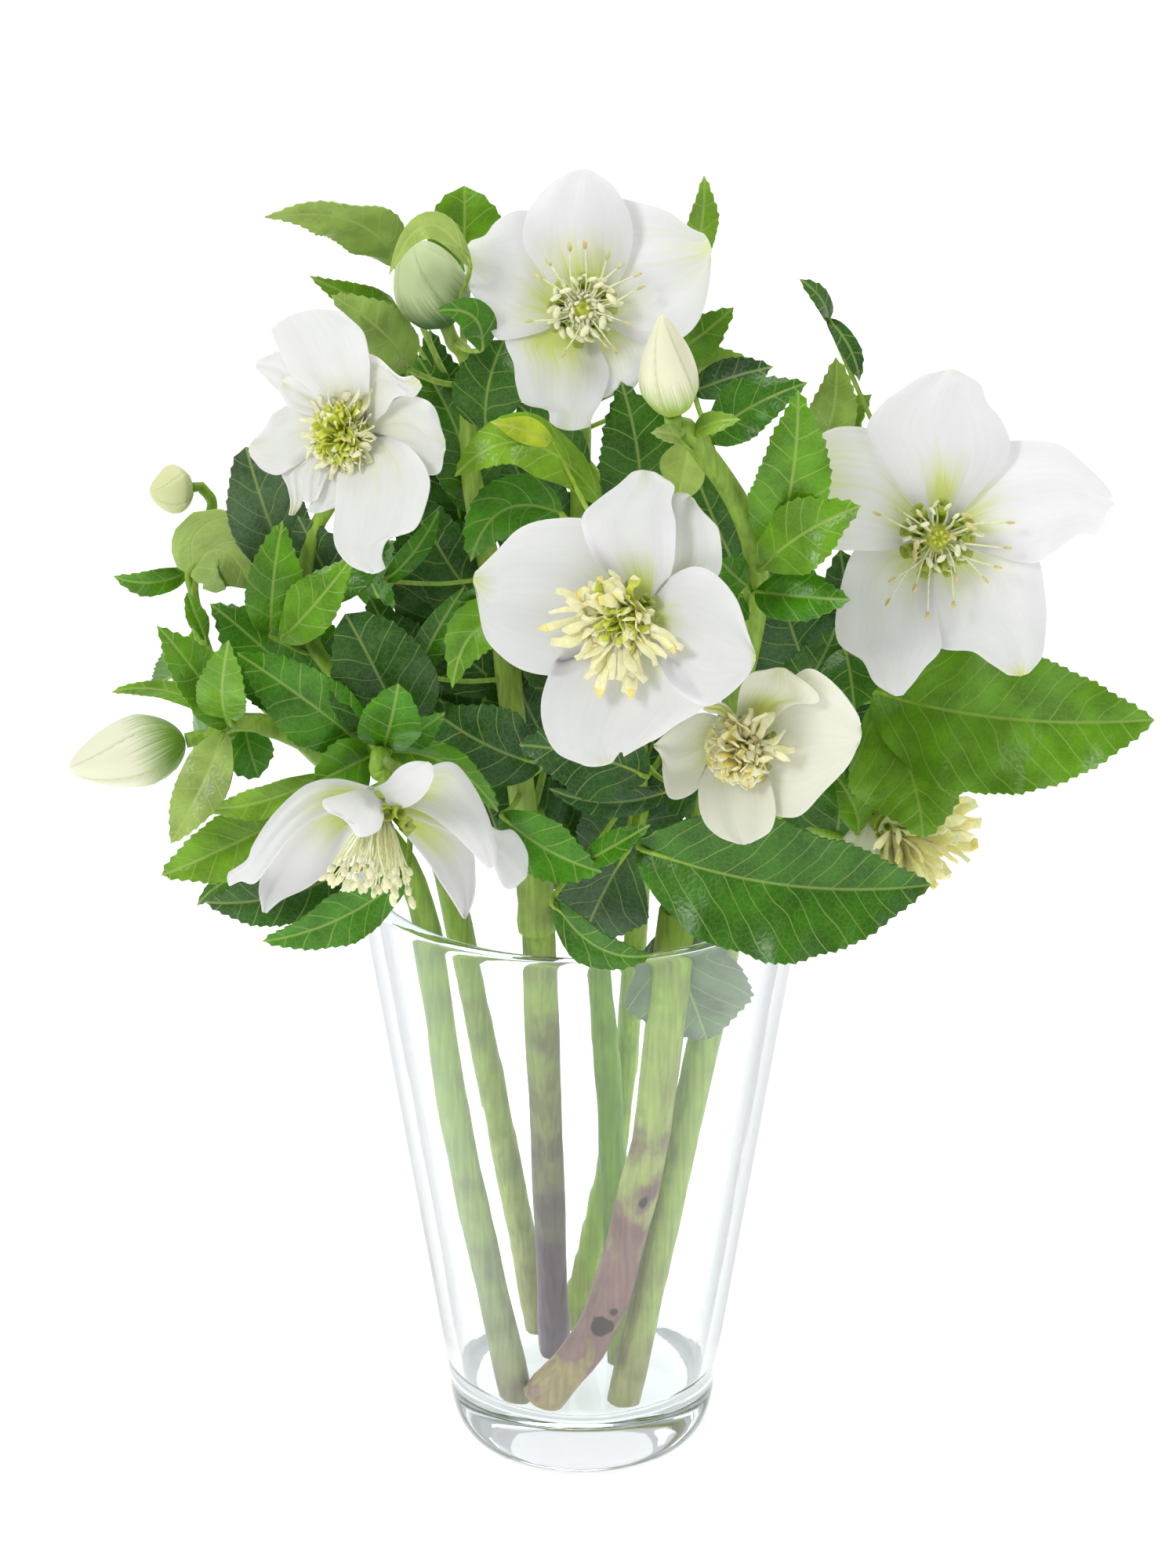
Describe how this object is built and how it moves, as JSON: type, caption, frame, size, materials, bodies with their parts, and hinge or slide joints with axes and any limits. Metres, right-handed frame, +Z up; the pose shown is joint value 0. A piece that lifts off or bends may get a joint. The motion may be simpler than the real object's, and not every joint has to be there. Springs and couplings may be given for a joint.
{
  "type": "cut hellebore flowers in a clear glass vase",
  "caption": "Bunch of white hellebores in flower, with toothed green leaves and buds, standing in a clear tapered thick-based glass vase.",
  "frame": {"origin": "middle of the vase's flat foot, on the surface that it stands on", "axes": "+Z up along the vase's axis, -Y toward the side that the bunch is seen from, +X to its right"},
  "size_m": [0.3101, 0.2044, 0.4117],
  "materials": {
    "vase_glass": "clear and polished",
    "leaf_green": "satin leaves with pale net veins, smooth pale green stems",
    "sepal_white": "soft matte white, yellow-green at the base",
    "stamen_cream": "matte cream over glossy green nectaries",
    "bud_pale_green": "soft matte pale green"
  },
  "bodies": {
    "root": {"vase": "vase_glass", "far_left_stem": "leaf_green", "left_stem": "leaf_green", "inner_left_stem": "leaf_green", "middle_stem": "leaf_green", "centre_stem": "leaf_green", "thick_stem": "leaf_green", "right_stem": "leaf_green", "top_bloom_sepals": "sepal_white", "top_bloom_stamens": "stamen_cream", "upper_left_bloom_sepals": "sepal_white", "upper_left_bloom_stamens": "stamen_cream", "centre_bloom_sepals": "sepal_white", "centre_bloom_stamens": "stamen_cream", "cream_bloom_sepals": "sepal_white", "cream_bloom_stamens": "stamen_cream", "right_bloom_sepals": "sepal_white", "right_bloom_stamens": "stamen_cream", "nodding_bloom_sepals": "sepal_white", "nodding_bloom_stamens": "stamen_cream", "fringed_bloom_sepals": "sepal_white", "fringed_bloom_stamens": "stamen_cream", "long_pale_bud": "bud_pale_green", "small_nodding_bud": "bud_pale_green", "half_open_bud": "bud_pale_green", "upright_bud": "bud_pale_green"}
  },
  "joints": []
}
